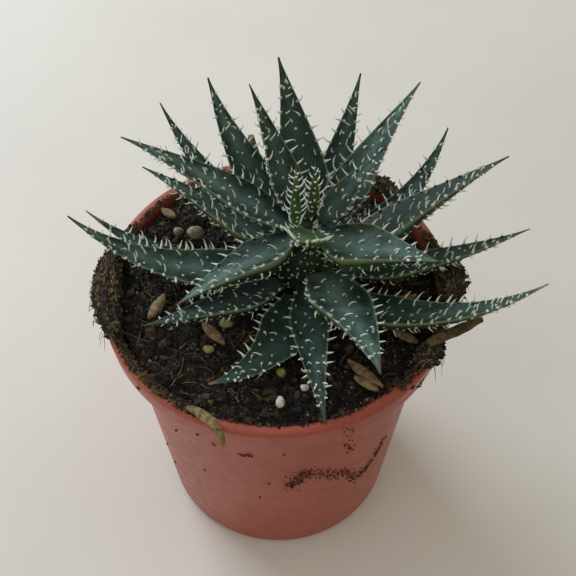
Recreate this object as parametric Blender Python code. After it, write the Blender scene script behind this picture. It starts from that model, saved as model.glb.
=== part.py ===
"""Potted aloe: a small plastic pot with soil, and a rosette of toothed leaves on a short stem.

Lengths are in millimetres until add_node writes metres. +Z is up and the front faces -Y.
"""

import math
import random

import bpy
from mathutils import Matrix, Vector

MM = 0.001

# pot outline, as (radius, height) from the middle of the flat underside to the middle of the floor
POT_SIDES = 64
POT_OUTLINE = (
    (0.0, 0.0),
    (20.3, 0.0),
    (21.1, 0.5),
    (21.5, 1.6),
    (26.7, 49.6),
    (29.2, 49.9),
    (29.5, 50.4),
    (30.0, 54.3),
    (29.8, 54.8),
    (29.3, 55.0),
    (28.4, 55.0),
    (28.0, 54.7),
    (27.8, 54.2),
    (27.7, 51.0),
    (25.9, 50.4),
    (20.3, 2.6),
    (19.6, 1.6),
    (0.0, 1.6),
)
DRAIN_HOLES = 5
DRAIN_CIRCLE = 11.0
DRAIN_RADIUS = 2.2
DRAIN_DEPTHS = (-0.6, 2.2)

# soil: its sides keep clear of the pot, and its top is lumpy
SOIL_SIDES = 48
SOIL_FLOOR = 2.0
SOIL_FLOOR_RADIUS = 19.2
SOIL_STEP = (25.4, 50.7)
SOIL_SHOULDER = (27.2, 51.6)
SOIL_RIM_RADIUS = 27.3
SOIL_RINGS = (2.0, 4.5, 7.0, 9.5, 12.0, 14.5, 17.0, 19.5, 22.0, 24.0, 26.0)
SOIL_LEVEL = 53.4
SOIL_DIP = 2.4
SOIL_DIP_REACH = 12.0

# stem: the rosette stands a little to the right of the pot's axis and behind it
STEM_X = 5.0
STEM_Y = 3.0
STEM_SIDES = 12
STEM_OUTLINE = ((5.0, 52.2), (5.1, 54.0), (4.7, 58.0), (3.3, 61.5), (1.9, 65.0), (0.9, 67.6))
FOOT_RADII = ((52.0, 6.5), (58.0, 5.6), (62.0, 4.2), (66.0, 2.7), (70.0, 1.4))

# leaf section and outline, as parts of the leaf's width and length
LEAF_HALF_WIDTHS = (
    (0.0, 0.36),
    (0.10, 0.68),
    (0.20, 0.92),
    (0.30, 1.0),
    (0.45, 0.78),
    (0.60, 0.55),
    (0.75, 0.33),
    (0.88, 0.15),
    (0.95, 0.07),
    (1.0, 0.03),
)
LEAF_THICKNESS = 0.33
# the leaves whose undersides show in front are thicker
THICK_LEAVES = {"leaf_06": 0.35, "leaf_09": 0.44, "leaf_10": 0.38, "leaf_11": 0.35, "leaf_16": 0.38}
LEAF_CHANNEL = 0.07
MARGIN_EDGE = 0.30
TOOTH_PITCH = 2.1
TOOTH_LENGTH = 1.9
TOOTH_FOOT = 0.7
SPINE_FOOT = 0.6
SPINE_ABOVE = 0.7
SPINE_BELOW = 1.1

# leaves: name, bearing of the foot, height of the foot, heading, rise, bend, sweep,
# length, width, roll; the angles are in degrees, bend and sweep run from foot to tip
LEAVES = (
    ("leaf_01", 84, 64.6, 98, 50, 5, 18, 27.5, 8.8, 0),
    ("leaf_02", 118, 66.8, 121, 56, 4, 16, 24.0, 6.5, -10),
    ("leaf_03", 118, 62.7, 144, 32, 20, -26, 29.0, 8.0, 3),
    ("leaf_04", 122, 56.8, 155, 22, 16, -30, 33.0, 6.2, 0),
    ("leaf_05", 158, 66.1, 165, 34, -18, 0, 31.5, 8.0, -8),
    ("leaf_06", 165, 60.8, 154, 21, 2, 10, 26.5, 8, -20),
    ("leaf_07", 196, 60.0, 197, -2, 48, -30, 37.5, 8.0, 5),
    ("leaf_08", 183, 55, 180, -1, 40, -20, 34.0, 6.5, 0),
    ("leaf_09", 208, 66.3, 211, 0, -12, 6, 22.5, 10.0, -24),
    ("leaf_10", 222, 56.9, 206, 3, 12, 4, 25.5, 7.9, -18),
    ("leaf_11", -70, 60.5, -60, 16, -4, -22, 27.5, 11.0, 16),
    ("leaf_12", -92, 58.1, -88, 4, -4, 6, 28.0, 6.7, 5),
    ("leaf_13", -108, 56.0, -94, 2, 5, -65, 25.5, 9.4, 3),
    ("leaf_14", -54, 55.8, -32, 1, 40, 34, 39.0, 9.2, 20),
    ("leaf_15", -4, 55.5, 0, 6, 26, 0, 33.0, 7.8, 20),
    ("leaf_16", -20, 66.1, -27, 11, 7, -8, 21.5, 11.8, 13),
    ("leaf_17", 10, 58.8, 21, 26, 3, -12, 33.0, 10.6, 26),
    ("leaf_18", 42, 55.5, 21, 7, 54, 30, 30.5, 6.5, 0),
    ("leaf_19", 44, 62.5, 53, 35, 10, -18, 29.5, 7.8, 4),
    ("leaf_20", 34, 65.2, 46, 42, 0, -32, 17.0, 5.3, 0),
    ("leaf_21", 78, 55.5, 66, 37, 16, 2, 30.5, 7.5, 0),
    ("leaf_22", 208, 67.6, -90, 84, 6, 0, 16.5, 1.9, 0),
    ("leaf_23", 60, 67.3, -90, 82, 8, 0, 14.0, 2.0, 0),
    ("leaf_24", -70, 68.3, -108, 26, 10, 0, 8.0, 7.4, 0),
)

# loose husks on the soil: name, both ends as (x, y), width and thickness
HUSK_COLOUR = (0.36, 0.26, 0.16)
HUSKS = (
    ("husk_1", (11.5, -15.0), (17.0, -20.4), 1.9, 0.9),
    ("husk_2", (12.4, -18.4), (16.2, -21.2), 1.5, 0.8),
    ("husk_3", (18.3, -3.6), (23.8, -1.9), 1.7, 0.8),
    ("husk_4", (19.3, -8.8), (23.4, -11.6), 1.8, 0.9),
    ("husk_5", (-12.6, -7.4), (-8.8, -11.8), 1.9, 0.9),
    ("husk_6", (-19.1, -2.1), (-21.6, -7.0), 2.0, 0.9),
    ("husk_7", (-20.6, 17.0), (-18.0, 15.2), 1.6, 0.9),
)
# pebbles: name, place, radii and colour
PEBBLES = (
    ("stone_1", (-14.3, 11.3), (1.7, 1.3, 1.1), (0.42, 0.42, 0.38)),
    ("stone_2", (-17.4, 12.2), (1.0, 0.9, 0.8), (0.30, 0.30, 0.28)),
    ("perlite_1", (0.3, -23.1), (0.8, 1.1, 0.8), (0.75, 0.74, 0.70)),
    ("perlite_2", (4.3, -20.4), (0.8, 0.6, 0.6), (0.70, 0.69, 0.64)),
    ("grain_1", (-8.6, -7.4), (1.3, 1.0, 0.9), (0.36, 0.36, 0.20)),
    ("grain_2", (0.5, -17.6), (0.9, 0.8, 0.8), (0.45, 0.42, 0.20)),
    ("grain_3", (-11.4, -13.4), (1.0, 0.8, 0.8), (0.42, 0.42, 0.26)),
)
# clumps of roots and soil lying over the rim: name, start and end angle, reach in and out, height
CLUMPS = (
    ("clump_left", 166, 202, 26.6, 31.4, 2.0),
    ("clump_right", -9, 10, 27.4, 32.4, 1.3),
    ("clump_front_right", -37, -26, 27.0, 31.2, 1.7),
    ("clump_back", 42, 54, 26.8, 30.6, 2.2),
)
CLUMP_COLOUR = (0.055, 0.04, 0.027)
CLUMP_FLOOR = 55.3
LOOSE_GAP = 0.35
WOOD_CHIP = ((24.4, -14.6, 57.9), (27.0, -13.4, 58.1), (30.4, -11.4, 57.6), (33.6, -9.6, 57.7))
DRY_LEAF = (
    (-14.4, -25.1, 55.9),
    (-12.8, -25.9, 56.1),
    (-11.2, -27.2, 56.1),
    (-9.8, -28.7, 55.9),
    (-9.0, -30.1, 55.0),
    (-8.5, -31.0, 53.7),
)
DRY_STUB = ((-1.6, 20.0, 54.5), (-2.6, 21.2, 58.3), (-3.6, 22.6, 62.5), (-4.4, 24.0, 66.8))


def between(table, at):
    """The value at this place of a table of (place, value), on a straight line between its rows."""
    for (x0, y0), (x1, y1) in zip(table, table[1:]):
        if at <= x1:
            return y0 + (y1 - y0) * max(0.0, at - x0) / (x1 - x0)
    return table[-1][1]


def clear_scene():
    for obj in list(bpy.data.objects):
        bpy.data.objects.remove(obj, do_unlink=True)


def add_node(name, points, faces, colour, roughness):
    """A named object from points in millimetres, with its own material."""
    mesh = bpy.data.meshes.new(name)
    mesh.from_pydata([Vector(p) * MM for p in points], [], faces)
    mesh.validate()
    material = bpy.data.materials.new(name)
    material.use_nodes = True
    shader = material.node_tree.nodes["Principled BSDF"]
    shader.inputs["Base Color"].default_value = (*colour, 1.0)
    shader.inputs["Roughness"].default_value = roughness
    mesh.materials.append(material)
    obj = bpy.data.objects.new(name, mesh)
    bpy.context.scene.collection.objects.link(obj)
    return obj


def strip(faces, lower, upper):
    """Joins two closed rings of the same number of points with quads."""
    count = len(lower)
    for i in range(count):
        j = (i + 1) % count
        faces.append((lower[i], lower[j], upper[j], upper[i]))


def turned(outline, sides, x=0.0, y=0.0):
    """Points and faces of an outline turned round the vertical, with a point where it meets the axis."""
    points, faces, rings = [], [], []
    for radius, height in outline:
        if radius == 0.0:
            rings.append([len(points)])
            points.append((x, y, height))
            continue
        rings.append(list(range(len(points), len(points) + sides)))
        for i in range(sides):
            angle = 2 * math.pi * i / sides
            points.append((x + radius * math.cos(angle), y + radius * math.sin(angle), height))
    for lower, upper in zip(rings, rings[1:]):
        if len(lower) == 1:
            faces.extend((lower[0], upper[(i + 1) % sides], upper[i]) for i in range(sides))
        elif len(upper) == 1:
            faces.extend((lower[i], lower[(i + 1) % sides], upper[0]) for i in range(sides))
        else:
            strip(faces, lower, upper)
    return points, faces, rings


def add_pot():
    points, faces, _ = turned(POT_OUTLINE, POT_SIDES)
    pot = add_node("pot", points, faces, (0.42, 0.12, 0.07), 0.4)
    for i in range(DRAIN_HOLES):
        angle = math.radians(18 + 360 * i / DRAIN_HOLES)
        x, y = DRAIN_CIRCLE * math.cos(angle), DRAIN_CIRCLE * math.sin(angle)
        drill_outline = [(DRAIN_RADIUS, depth) for depth in DRAIN_DEPTHS]
        drill_points, drill_faces, rings = turned(drill_outline, 12, x, y)
        drill_faces += [tuple(reversed(rings[0])), tuple(rings[1])]
        drill = add_node(f"drill_{i}", drill_points, drill_faces, (0.5, 0.5, 0.5), 0.5)
        cut = pot.modifiers.new("drain", "BOOLEAN")
        cut.operation = "DIFFERENCE"
        cut.solver = "EXACT"
        cut.object = drill
        bpy.context.view_layer.objects.active = pot
        bpy.ops.object.modifier_apply(modifier=cut.name)
        bpy.data.objects.remove(drill, do_unlink=True)


def soil_height(x, y):
    """Height of the soil: highest behind on the left, with a dip round the stem and lumps all over."""
    slope = 0.025 * y - 0.012 * x
    reach = math.hypot(x - STEM_X, y - STEM_Y) / SOIL_DIP_REACH
    lumps = (
        0.30 * math.sin(0.62 * x + 0.35 * y + 1.0)
        + 0.26 * math.sin(0.41 * x - 0.77 * y + 2.0)
        + 0.14 * math.sin(1.10 * x + 0.90 * y)
    )
    dip = math.exp(-reach * reach)
    return SOIL_LEVEL + slope + lumps * (1 - dip) - SOIL_DIP * dip


def add_soil():
    rng = random.Random(3)
    outline = ((0.0, SOIL_FLOOR), (SOIL_FLOOR_RADIUS, SOIL_FLOOR), SOIL_STEP, SOIL_SHOULDER)
    points, faces, rings = turned(outline, SOIL_SIDES)
    last = rings[-1]
    for radius in (SOIL_RIM_RADIUS, *reversed(SOIL_RINGS)):
        ring = list(range(len(points), len(points) + SOIL_SIDES))
        for i in range(SOIL_SIDES):
            angle = 2 * math.pi * i / SOIL_SIDES
            x, y = radius * math.cos(angle), radius * math.sin(angle)
            points.append((x, y, soil_height(x, y) + rng.uniform(-0.12, 0.12)))
        strip(faces, last, ring)
        last = ring
    points.append((0.0, 0.0, soil_height(0.0, 0.0)))
    faces.extend((last[i], last[(i + 1) % SOIL_SIDES], len(points) - 1) for i in range(SOIL_SIDES))
    add_node("soil", points, faces, (0.03, 0.022, 0.016), 0.95)


def add_stem():
    points, faces, rings = turned(STEM_OUTLINE, STEM_SIDES, STEM_X, STEM_Y)
    faces += [tuple(reversed(rings[0])), tuple(rings[-1])]
    add_node("stem", points, faces, (0.12, 0.16, 0.06), 0.6)


def leaf_frames(leaf, places):
    """For each place along the leaf (0 to 1): the centre, and the ways along, across and up."""
    _, bearing, foot_height, heading, rise, bend, sweep, length, _, roll = leaf
    foot = between(FOOT_RADII, foot_height)
    at = Vector((
        STEM_X + foot * math.cos(math.radians(bearing)),
        STEM_Y + foot * math.sin(math.radians(bearing)),
        foot_height,
    ))
    steps = 60
    centres, frames = [at.copy()], []
    for i in range(steps + 1):
        place = i / steps
        climb = math.radians(rise + bend * place)
        turn = math.radians(heading + sweep * place)
        along = Vector((
            math.cos(climb) * math.cos(turn),
            math.cos(climb) * math.sin(turn),
            math.sin(climb),
        ))
        across = Vector((math.sin(turn), -math.cos(turn), 0.0))
        across.rotate(Matrix.Rotation(math.radians(-roll), 3, along))
        frames.append((along, across, across.cross(along)))
        centres.append(centres[-1] + along * (length / steps))
    found = []
    for place in places:
        index = min(steps, int(round(place * steps)))
        spot = place * steps
        low = min(steps - 1, int(spot))
        centre = centres[low].lerp(centres[low + 1], spot - low)
        found.append((centre, *frames[index]))
    return found


def leaf_section(width, edge, thickness):
    """Seven corners of the leaf's section, as (across, up): left edge, channel, right edge and the keel."""
    half = width / 2
    deep = width * thickness
    return (
        (-half, 0.0),
        (0.0, -width * LEAF_CHANNEL),
        (half, 0.0),
        (half * 0.97, -edge),
        (half * 0.45, -deep),
        (-half * 0.45, -deep),
        (-half * 0.97, -edge),
    )


def add_tooth(points, faces, quad, tip):
    """A four-sided tooth that stands on the whole of a quad."""
    points.append(tip)
    faces.extend((quad[m], quad[(m + 1) % 4], len(points) - 1) for m in range(4))


def add_spine(points, faces, quad, share, rise):
    """A three-sided spine on a small foot inside a quad, this share of the way across it."""
    low, high = points[quad[0]], points[quad[1]]
    far_low, far_high = points[quad[3]], points[quad[2]]
    half = min(0.3, SPINE_FOOT / 2 / (high - low).length)
    foot = []
    for across, along in ((share - half, 0.15), (share + half, 0.15), (share, 0.85)):
        foot.append(len(points))
        points.append(low.lerp(high, across).lerp(far_low.lerp(far_high, across), along))
    points.append(sum((points[f] for f in foot), Vector()) / 3 + rise)
    tip = len(points) - 1
    faces.extend((
        (quad[0], quad[1], foot[1], foot[0]),
        (quad[1], quad[2], foot[2], foot[1]),
        (quad[2], quad[3], foot[2]),
        (quad[3], quad[0], foot[0], foot[2]),
    ))
    faces.extend((foot[m], foot[(m + 1) % 3], tip) for m in range(3))


def add_leaf(leaf, rng):
    """A leaf with a channel above and a keel below, teeth along both edges and spines on both faces."""
    name, length, width = leaf[0], leaf[7], leaf[8]
    teeth = max(3, int(length * 0.84 / TOOTH_PITCH))
    half_foot = TOOTH_FOOT / 2 / length
    thickness = THICK_LEAVES.get(name, LEAF_THICKNESS)
    places = [0.0, 0.07]
    for i in range(teeth):
        middle = 0.12 + 0.83 * i / (teeth - 1)
        places += [middle - half_foot, middle + half_foot]
    frames = leaf_frames(leaf, [*places, 1.0])
    points, faces, rings = [], [], []
    for place, (centre, _, across, up) in zip(places, frames):
        wide = width * between(LEAF_HALF_WIDTHS, place)
        edge = min(MARGIN_EDGE, wide * 0.12)
        rings.append(list(range(len(points), len(points) + 7)))
        points += [centre + across * a + up * b for a, b in leaf_section(wide, edge, thickness)]
    faces.append(tuple(reversed(rings[0])))
    for i, (lower, upper) in enumerate(zip(rings, rings[1:])):
        toothed = i >= 2 and i % 2 == 0
        place = (places[i] + places[i + 1]) / 2
        _, along, across, up = frames[i]
        spined = rng.choice((0, 1)) if i % 4 == 0 else rng.choice((3, 4, 4, 5))
        for j in range(7):
            k = (j + 1) % 7
            quad = (lower[j], lower[k], upper[k], upper[j])
            if toothed and j in (2, 6):
                side = across if j == 2 else -across
                size = TOOTH_LENGTH * (0.55 + 0.45 * math.sin(math.pi * min(1.0, place * 1.1)))
                size *= rng.uniform(0.85, 1.15) * min(1.0, width / 6)
                lean = (side + along * 0.35 + up * 0.45).normalized()
                add_tooth(points, faces, quad, sum((points[q] for q in quad), Vector()) / 4 + lean * size)
            elif toothed and j == spined and 0.28 < place < 0.9:
                rise = up * SPINE_ABOVE if j < 2 else (along * 0.4 - up).normalized() * SPINE_BELOW
                add_spine(points, faces, quad, rng.uniform(0.35, 0.65), rise)
            else:
                faces.append(quad)
    points.append(frames[-1][0])
    last = rings[-1]
    faces.extend((last[i], last[(i + 1) % 7], len(points) - 1) for i in range(7))
    add_node(name, points, faces, (0.05, 0.11, 0.06), 0.45)


def turns_out(points, faces):
    """Whether the faces point out of the closed shape they make."""
    volume = 0.0
    for face in faces:
        for j, k in zip(face[1:], face[2:]):
            volume += Vector(points[face[0]]).dot(Vector(points[j]).cross(Vector(points[k])))
    return volume > 0


def add_strand(name, path, half_widths, half_thickness, colour, jitter=0.0, sides=8, seed=1):
    """A closed flattened strand along a path, with rough sides where jitter is given."""
    rng = random.Random(seed)
    path = [Vector(p) for p in path]
    points, faces, rings = [], [], []
    for i, centre in enumerate(path):
        along = (path[min(i + 1, len(path) - 1)] - path[max(i - 1, 0)]).normalized()
        across = along.cross(Vector((0.0, 0.0, 1.0))).normalized()
        up = across.cross(along)
        rings.append(list(range(len(points), len(points) + sides)))
        for j in range(sides):
            angle = 2 * math.pi * j / sides
            rough = 1 + rng.uniform(-jitter, jitter)
            out = across * half_widths[i] * math.cos(angle) + up * half_thickness * math.sin(angle)
            points.append(centre + out * rough)
    faces.append(tuple(reversed(rings[0])))
    for lower, upper in zip(rings, rings[1:]):
        strip(faces, lower, upper)
    faces.append(tuple(rings[-1]))
    if not turns_out(points, faces):
        faces = [tuple(reversed(face)) for face in faces]
    add_node(name, points, faces, colour, 0.85)


def add_husks():
    for name, (x0, y0), (x1, y1), width, thickness in HUSKS:
        steps = [i / 5 for i in range(6)]
        spots = [(x0 + (x1 - x0) * s, y0 + (y1 - y0) * s) for s in steps]
        level = max(soil_height(x, y) for x, y in spots) + LOOSE_GAP + 0.12 + thickness / 2
        path = [(x, y, level + 0.4 * (s - 0.5) ** 2) for (x, y), s in zip(spots, steps)]
        halves = [width / 2 * f for f in (0.22, 0.78, 1.0, 0.96, 0.7, 0.18)]
        add_strand(name, path, halves, thickness / 2, HUSK_COLOUR)


def add_pebbles():
    for number, (name, (x, y), radii, colour) in enumerate(PEBBLES):
        rng = random.Random(20 + number)
        level = soil_height(x, y) + LOOSE_GAP + 0.2 + radii[2]
        outline = [(0.0, -1.0), (0.62, -0.78), (0.98, -0.1), (0.70, 0.68), (0.0, 1.0)]
        points, faces, _ = turned(outline, 8)
        moved = []
        for px, py, pz in points:
            rough = 1 + rng.uniform(-0.08, 0.08)
            moved.append((
                x + px * radii[0] * rough,
                y + py * radii[1] * rough,
                level + pz * radii[2] * rough,
            ))
        add_node(name, moved, faces, colour, 0.8)


def add_clumps():
    for number, (name, start, end, near, far, height) in enumerate(CLUMPS):
        count = max(4, int(abs(end - start) / 3.5))
        path, halves = [], []
        for i in range(count + 1):
            share = i / count
            angle = math.radians(start + (end - start) * share)
            middle = (near + far) / 2
            level = CLUMP_FLOOR + height / 2 + 0.12
            path.append((middle * math.cos(angle), middle * math.sin(angle), level))
            halves.append((far - near) / 2 * (0.45 + 0.55 * math.sin(math.pi * share)))
        add_strand(name, path, halves, height / 2, CLUMP_COLOUR, 0.11, 10, 40 + number)


def add_dry_pieces():
    add_strand("wood_chip", WOOD_CHIP, (0.7, 1.0, 1.0, 0.6), 0.5, (0.30, 0.20, 0.12))
    add_strand("dry_leaf", DRY_LEAF, (0.3, 0.75, 0.9, 0.8, 0.55, 0.25), 0.3, (0.45, 0.36, 0.25))
    add_strand("dry_stub", DRY_STUB, (1.0, 1.3, 1.0, 0.5), 0.6, (0.24, 0.17, 0.12), 0.08)


def main():
    clear_scene()
    add_pot()
    add_soil()
    add_stem()
    for number, leaf in enumerate(LEAVES):
        add_leaf(leaf, random.Random(11 + number))
    add_husks()
    add_pebbles()
    add_clumps()
    add_dry_pieces()


main()
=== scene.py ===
"""Potted aloe: fine leaves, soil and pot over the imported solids, with materials, light and camera.

Lengths are in millimetres until add_piece writes metres. +Z is up and the viewer stands at -Y.
"""

import math
import random

import bpy
import numpy as np
from mathutils import Matrix, Vector, noise

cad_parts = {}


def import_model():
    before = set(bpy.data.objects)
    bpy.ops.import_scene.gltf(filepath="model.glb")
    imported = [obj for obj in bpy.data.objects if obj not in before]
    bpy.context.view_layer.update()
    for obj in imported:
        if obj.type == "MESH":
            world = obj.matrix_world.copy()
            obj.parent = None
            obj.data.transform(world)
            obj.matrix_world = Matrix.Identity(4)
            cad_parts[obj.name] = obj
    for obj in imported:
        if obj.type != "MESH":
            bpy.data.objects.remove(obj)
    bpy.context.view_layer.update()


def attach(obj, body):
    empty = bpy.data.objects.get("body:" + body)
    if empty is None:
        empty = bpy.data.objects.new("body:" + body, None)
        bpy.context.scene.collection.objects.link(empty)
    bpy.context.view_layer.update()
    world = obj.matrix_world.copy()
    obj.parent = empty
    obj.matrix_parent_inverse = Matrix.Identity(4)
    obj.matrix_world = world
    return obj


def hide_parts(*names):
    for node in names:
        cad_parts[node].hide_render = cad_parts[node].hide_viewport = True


MM = 0.001
BODY = "root"
UP = Vector((0.0, 0.0, 1.0))

# camera: solved from the rim, the sides and the foot of the pot in the photo
CAMERA_PLACE = (0.0, -126.4, 217.0)
CAMERA_DOWN = 52.2
CAMERA_YAW = 0.84
CAMERA_ROLL = 0.1
CAMERA_LENS = 75.0
SENSOR = 36.0

# light: a window high on the left behind the plant, and a weak one on the left in front
WINDOW_PLACE = (-290.0, 320.0, 370.0)
WINDOW_SIZE = 300.0
WINDOW_WATTS = 1.8
WINDOW_COLOUR = "#E9F1FF"
FILL_PLACE = (-520.0, -260.0, 380.0)
FILL_SIZE = 600.0
FILL_WATTS = 0.55
FILL_COLOUR = "#F1F3FF"
SKY_COLOUR = "#EEE9DA"
SKY_STRENGTH = 0.55
FLOOR_SIZE = 1600.0

# pot outline, as (radius, height) from the middle of the flat underside to the middle of the floor
POT_SIDES = 192
POT_OUTLINE = (
    (0.0, 0.0),
    (20.3, 0.0),
    (21.1, 0.5),
    (21.5, 1.6),
    (26.7, 49.6),
    (29.2, 49.9),
    (29.5, 50.4),
    (30.0, 54.3),
    (29.8, 54.8),
    (29.3, 55.0),
    (28.4, 55.0),
    (28.0, 54.7),
    (27.8, 54.2),
    (27.7, 51.0),
    (25.9, 50.4),
    (20.3, 2.6),
    (19.6, 1.6),
    (0.0, 1.6),
)
RIM_TOP = 55.0
RIM_INSIDE = 27.9
DRAIN_HOLES = 5
DRAIN_CIRCLE = 11.0
DRAIN_RADIUS = 2.2

# soil
SOIL_PLUG = ((0.0, 2.0), (19.2, 2.0), (25.4, 50.7), (27.2, 51.6))
SOIL_RIM_RADIUS = 27.3
SOIL_LEVEL = 53.4
SOIL_DIP = 2.4
SOIL_DIP_REACH = 12.0
SOIL_CELLS = 190
FIBRE_COUNT = 420
# corners of a splinter: six round its rim, one above and one below
SHARD_CORNERS = (
    (-1.0, 0.0, 0.0),
    (-0.3, 1.0, 0.2),
    (0.4, 0.8, -0.3),
    (1.0, 0.0, 0.1),
    (0.2, -1.0, 0.2),
    (-0.4, -0.8, -0.2),
    (0.0, 0.1, 1.0),
    (0.1, 0.0, -1.0),
)
# loose bits on the soil: name, material, how many, and their smallest and largest length
LITTER = (
    ("peat_splinters", "peat", 5200, 0.5, 1.9),
    ("wet_splinters", "wet", 1300, 0.4, 1.3),
    ("brown_splinters", "brown", 1100, 0.6, 2.4),
    ("pale_splinters", "mineral", 420, 0.3, 0.9),
    ("moss_splinters", "moss", 700, 0.4, 1.3),
)

# stem
STEM_X = 5.0
STEM_Y = 3.0
STEM_OUTLINE = ((5.0, 52.2), (5.1, 54.0), (4.7, 58.0), (3.3, 61.5), (1.9, 65.0), (0.9, 67.6))
STEM_ROWS = 40
STEM_SIDES = 64
STEM_WARTS = 190
FOOT_RADII = ((52.0, 6.5), (58.0, 5.6), (62.0, 4.2), (66.0, 2.7), (70.0, 1.4))

# leaf outline and section, as parts of the leaf's length and width
LEAF_HALF_WIDTHS = (
    (0.0, 0.36),
    (0.10, 0.68),
    (0.20, 0.92),
    (0.30, 1.0),
    (0.45, 0.78),
    (0.60, 0.55),
    (0.75, 0.33),
    (0.88, 0.15),
    (0.95, 0.07),
    (1.0, 0.03),
)
LEAF_THICKNESS = 0.33
# the leaves whose undersides show in front are thicker
THICK_LEAVES = {"leaf_06": 0.35, "leaf_09": 0.44, "leaf_10": 0.38, "leaf_11": 0.35, "leaf_16": 0.38}
LEAF_CHANNEL = 0.07
LEAF_STATIONS = 72
LEAF_SIDES = 40
TOOTH_PITCH = 1.9
TOOTH_LENGTH = 1.9
# a spine's radius from foot to point, as parts of its own
SPIKE_TAPER = ((0.0, 2.0), (0.12, 1.45), (0.3, 0.95), (0.6, 0.68), (0.85, 0.4), (1.0, 0.08))

# leaves: name, bearing of the foot, height of the foot, heading, rise, bend, sweep,
# length, width, roll; the angles are in degrees, bend and sweep run from foot to tip
LEAVES = (
    ("leaf_01", 84, 64.6, 98, 50, 5, 18, 27.5, 8.8, 0),
    ("leaf_02", 118, 66.8, 121, 56, 4, 16, 24.0, 6.5, -10),
    ("leaf_03", 118, 62.7, 144, 32, 20, -26, 29.0, 8.0, 3),
    ("leaf_04", 122, 56.8, 155, 22, 16, -30, 33.0, 6.2, 0),
    ("leaf_05", 158, 66.1, 165, 34, -18, 0, 31.5, 8.0, -8),
    ("leaf_06", 165, 60.8, 154, 21, 2, 10, 26.5, 8, -20),
    ("leaf_07", 196, 60.0, 197, -2, 48, -30, 37.5, 8.0, 5),
    ("leaf_08", 183, 55, 180, -1, 40, -20, 34.0, 6.5, 0),
    ("leaf_09", 208, 66.3, 211, 0, -12, 6, 22.5, 10.0, -24),
    ("leaf_10", 222, 56.9, 206, 3, 12, 4, 25.5, 7.9, -18),
    ("leaf_11", -70, 60.5, -60, 16, -4, -22, 27.5, 11.0, 16),
    ("leaf_12", -92, 58.1, -88, 4, -4, 6, 28.0, 6.7, 5),
    ("leaf_13", -108, 56.0, -94, 2, 5, -65, 25.5, 9.4, 3),
    ("leaf_14", -54, 55.8, -32, 1, 40, 34, 39.0, 9.2, 20),
    ("leaf_15", -4, 55.5, 0, 6, 26, 0, 33.0, 7.8, 20),
    ("leaf_16", -20, 66.1, -27, 11, 7, -8, 21.5, 11.8, 13),
    ("leaf_17", 10, 58.8, 21, 26, 3, -12, 33.0, 10.6, 26),
    ("leaf_18", 42, 55.5, 21, 7, 54, 30, 30.5, 6.5, 0),
    ("leaf_19", 44, 62.5, 53, 35, 10, -18, 29.5, 7.8, 4),
    ("leaf_20", 34, 65.2, 46, 42, 0, -32, 17.0, 5.3, 0),
    ("leaf_21", 78, 55.5, 66, 37, 16, 2, 30.5, 7.5, 0),
    ("leaf_22", 208, 67.6, -90, 84, 6, 0, 16.5, 1.9, 0),
    ("leaf_23", 60, 67.3, -90, 82, 8, 0, 14.0, 2.0, 0),
    ("leaf_24", -70, 68.3, -108, 26, 10, 0, 8.0, 7.4, 0),
)
YOUNG_LEAVES = ("leaf_22", "leaf_23", "leaf_24")
# where the dry brown tip starts, as a part of the length; the others start at DRY_FROM
DRY_FROM = 0.955
DRY_TIPS = {
    "leaf_02": 0.90,
    "leaf_08": 0.88,
    "leaf_11": 0.93,
    "leaf_13": 0.93,
    "leaf_14": 0.93,
    "leaf_17": 0.91,
    "leaf_19": 0.93,
}

# how much pale wax and painted sheen lies on a leaf: less on the leaves that stand in shade, which is painted shade,
# and more on lit ones; the others have the default on the next line
BLOOM_AND_SHEEN = 0.5
BLOOM_AND_SHEEN_BY_LEAF = {
    "leaf_01": 0.3,
    "leaf_03": 0.8,
    "leaf_05": 0.7,
    "leaf_07": 0.8,
    "leaf_09": 1.0,
    "leaf_11": 1.0,
    "leaf_13": 0.25,
    "leaf_15": 0.25,
    "leaf_16": 1.0,
    "leaf_17": 0.2,
    "leaf_19": 0.8,
}
# how reddish a dry tip is; the others are dark brown
WARM_TIPS = {"leaf_08": 0.9, "leaf_14": 0.8, "leaf_19": 0.2, "leaf_13": 0.6, "leaf_11": 0.4}
# how far the yellow-green flush shows on a leaf's underside; the others have a trace of it
FLUSHES = {"leaf_06": 1.0, "leaf_07": 0.9, "leaf_11": 0.6, "leaf_14": 0.8, "leaf_16": 1.0, "leaf_20": 1.0}
FLUSH_TRACE = 0.3

# loose husks on the soil: name, both ends as (x, y), width and thickness
HUSKS = (
    ("husk_1", (11.5, -15.0), (17.0, -20.4), 1.9, 0.9),
    ("husk_2", (12.4, -18.4), (16.2, -21.2), 1.5, 0.8),
    ("husk_3", (18.3, -3.6), (23.8, -1.9), 1.7, 0.8),
    ("husk_4", (19.3, -8.8), (23.4, -11.6), 1.8, 0.9),
    ("husk_5", (-12.6, -7.4), (-8.8, -11.8), 1.9, 0.9),
    ("husk_6", (-19.1, -2.1), (-21.6, -7.0), 2.0, 0.9),
    ("husk_7", (-20.6, 17.0), (-18.0, 15.2), 1.6, 0.9),
)
# pebbles: name, slot, place and radii
PEBBLES = (
    ("stone_1", "pebble", (-14.3, 11.3), (1.7, 1.3, 1.1)),
    ("stone_2", "pebble", (-17.4, 12.2), (1.0, 0.9, 0.8)),
    ("perlite_1", "perlite", (0.3, -23.1), (0.8, 1.1, 0.8)),
    ("perlite_2", "perlite", (4.3, -20.4), (0.8, 0.6, 0.6)),
    ("grain_1", "grain", (-8.6, -7.4), (1.3, 1.0, 0.9)),
    ("grain_2", "grain", (0.5, -17.6), (0.9, 0.8, 0.8)),
    ("grain_3", "grain", (-11.4, -13.4), (1.0, 0.8, 0.8)),
)
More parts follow.
